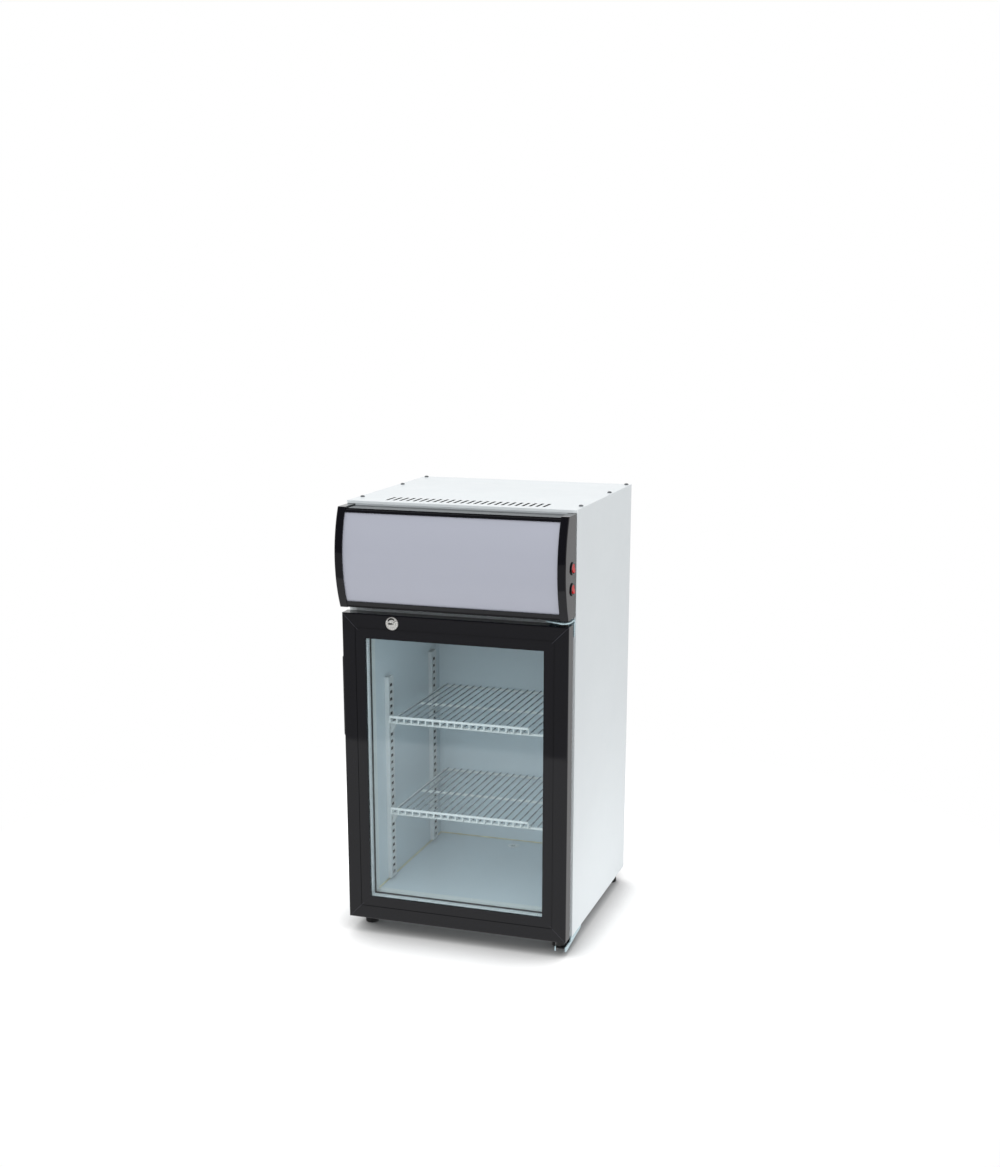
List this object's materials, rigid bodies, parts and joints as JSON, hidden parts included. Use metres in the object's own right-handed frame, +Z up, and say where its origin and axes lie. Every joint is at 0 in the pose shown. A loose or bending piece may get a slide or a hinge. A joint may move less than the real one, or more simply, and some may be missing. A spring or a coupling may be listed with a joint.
{
  "type": "countertop beverage fridge",
  "caption": "Small upright display cooler with a hinged framed glass door, a bowed light canopy on top, wire shelves on slotted standards, a door lock and side switches.",
  "frame": {"origin": "on the floor under the middle of the overall outline", "axes": "+X to the right as seen from the front, +Y to the back, +Z up"},
  "size_m": [0.4336, 0.472, 0.8186],
  "materials": {
    "cabinet_white": "smooth gloss powder coat",
    "galvanised_sheet": "galvanised sheet",
    "front_dark": "dark satin paint",
    "liner_white": "gloss white coat",
    "insulation": "poured rigid foam",
    "zinc_steel": "bright zinc plate",
    "compressor_black": "black enamel",
    "grommet_rubber": "soft rubber",
    "fin_aluminium": "mill finish",
    "copper_pipe": "drawn copper",
    "fan_black": "moulded plastic",
    "cover_white": "moulded plastic",
    "shelf_white": "white epoxy coat",
    "standard_white": "white epoxy coat",
    "foot_black": "moulded plastic",
    "bush_nylon": "moulded nylon",
    "canopy_black": "gloss moulded plastic",
    "canopy_sheet": "translucent sheet",
    "lamp_white": "clear cover",
    "switch_black": "moulded plastic",
    "rocker_red": "gloss plastic",
    "frame_black": "gloss extruded plastic",
    "door_glass": "clear float glass",
    "spacer_aluminium": "mill finish",
    "gasket_grey": "soft extruded seal",
    "lock_nickel": "nickel plate"
  },
  "bodies": {
    "cabinet": {"left_side_panel": "cabinet_white", "right_side_panel": "cabinet_white", "top_cover": "cabinet_white", "back_panel": "galvanised_sheet", "base_plate": "galvanised_sheet", "rear_grille": "galvanised_sheet", "machine_deck": "galvanised_sheet", "front_panel": "front_dark", "liner_left": "liner_white", "liner_right": "liner_white", "liner_back": "liner_white", "liner_floor": "liner_white", "liner_ceiling": "liner_white", "foam_insulation": "insulation", "top_screws": "zinc_steel", "hinge_bracket": "zinc_steel", "hinge_plate": "zinc_steel", "hinge_pins": "zinc_steel", "hinge_screws": "zinc_steel", "compressor": "compressor_black", "compressor_grommets": "grommet_rubber", "condenser": "fin_aluminium", "evaporator": "fin_aluminium", "liquid_line": "copper_pipe", "discharge_tube": "copper_pipe", "suction_tube": "copper_pipe", "condenser_fan_frame": "fan_black", "thermostat": "fan_black", "cable_gland": "fan_black", "evaporator_cover": "cover_white", "drain_tube": "cover_white", "shelf_standards": "standard_white", "shelf_clips": "standard_white", "feet": "foot_black", "canopy_end_left": "canopy_black", "canopy_end_right": "canopy_black", "canopy_top_rail": "canopy_black", "canopy_bottom_rail": "canopy_black", "canopy_panel": "canopy_sheet", "canopy_lamp": "lamp_white", "switch_housings": "switch_black"},
    "door": {"door_rail_top": "frame_black", "door_rail_bottom": "frame_black", "door_stile_left": "frame_black", "door_stile_right": "frame_black", "outer_pane": "door_glass", "inner_pane": "door_glass", "pane_spacer": "spacer_aluminium", "door_gasket": "gasket_grey", "lock_housing": "lock_nickel", "hinge_bushes": "bush_nylon"},
    "lock": {"lock_cylinder": "lock_nickel"},
    "upper_shelf": {"upper_shelf": "shelf_white"},
    "lower_shelf": {"lower_shelf": "shelf_white"},
    "light_switch": {"light_rocker": "rocker_red"},
    "power_switch": {"power_rocker": "rocker_red"},
    "condenser_fan": {"condenser_fan": "fan_black"},
    "evaporator_fan": {"evaporator_fan": "fan_black"},
    "thermostat_knob": {"thermostat_knob": "fan_black"}
  },
  "joints": [
    {"name": "door_hinge", "type": "hinge", "parent": "cabinet", "child": "door", "pos_m": [0.2, -0.1965, 0.03], "axis": [0, 0, 1], "range_deg": [0, 110]},
    {"name": "lock_turn", "type": "hinge", "parent": "door", "child": "lock", "pos_m": [-0.1155, -0.19, 0.6035], "axis": [0, 1, 0], "range_deg": [0, 90]},
    {"name": "upper_shelf_lift", "type": "slide", "parent": "cabinet", "child": "upper_shelf", "axis": [0, 0, 1], "range_m": [0, 0.02]},
    {"name": "lower_shelf_lift", "type": "slide", "parent": "cabinet", "child": "lower_shelf", "axis": [0, 0, 1], "range_m": [0, 0.02]},
    {"name": "light_rocker_tip", "type": "hinge", "parent": "cabinet", "child": "light_switch", "pos_m": [0.213, -0.194, 0.7185], "axis": [0, 1, 0], "range_deg": [0, 20]},
    {"name": "power_rocker_tip", "type": "hinge", "parent": "cabinet", "child": "power_switch", "pos_m": [0.213, -0.194, 0.682], "axis": [0, 1, 0], "range_deg": [0, 20]},
    {"name": "condenser_fan_spin", "type": "hinge", "parent": "cabinet", "child": "condenser_fan", "pos_m": [0.107, 0.14, 0.698], "axis": [0, 1, 0], "continuous": true},
    {"name": "evaporator_fan_spin", "type": "hinge", "parent": "cabinet", "child": "evaporator_fan", "pos_m": [0, 0.1, 0.538], "axis": [0, 1, 0], "continuous": true},
    {"name": "thermostat_turn", "type": "hinge", "parent": "cabinet", "child": "thermostat_knob", "pos_m": [-0.155, 0.228, 0.723], "axis": [0, 1, 0], "range_deg": [0, 300]}
  ]
}
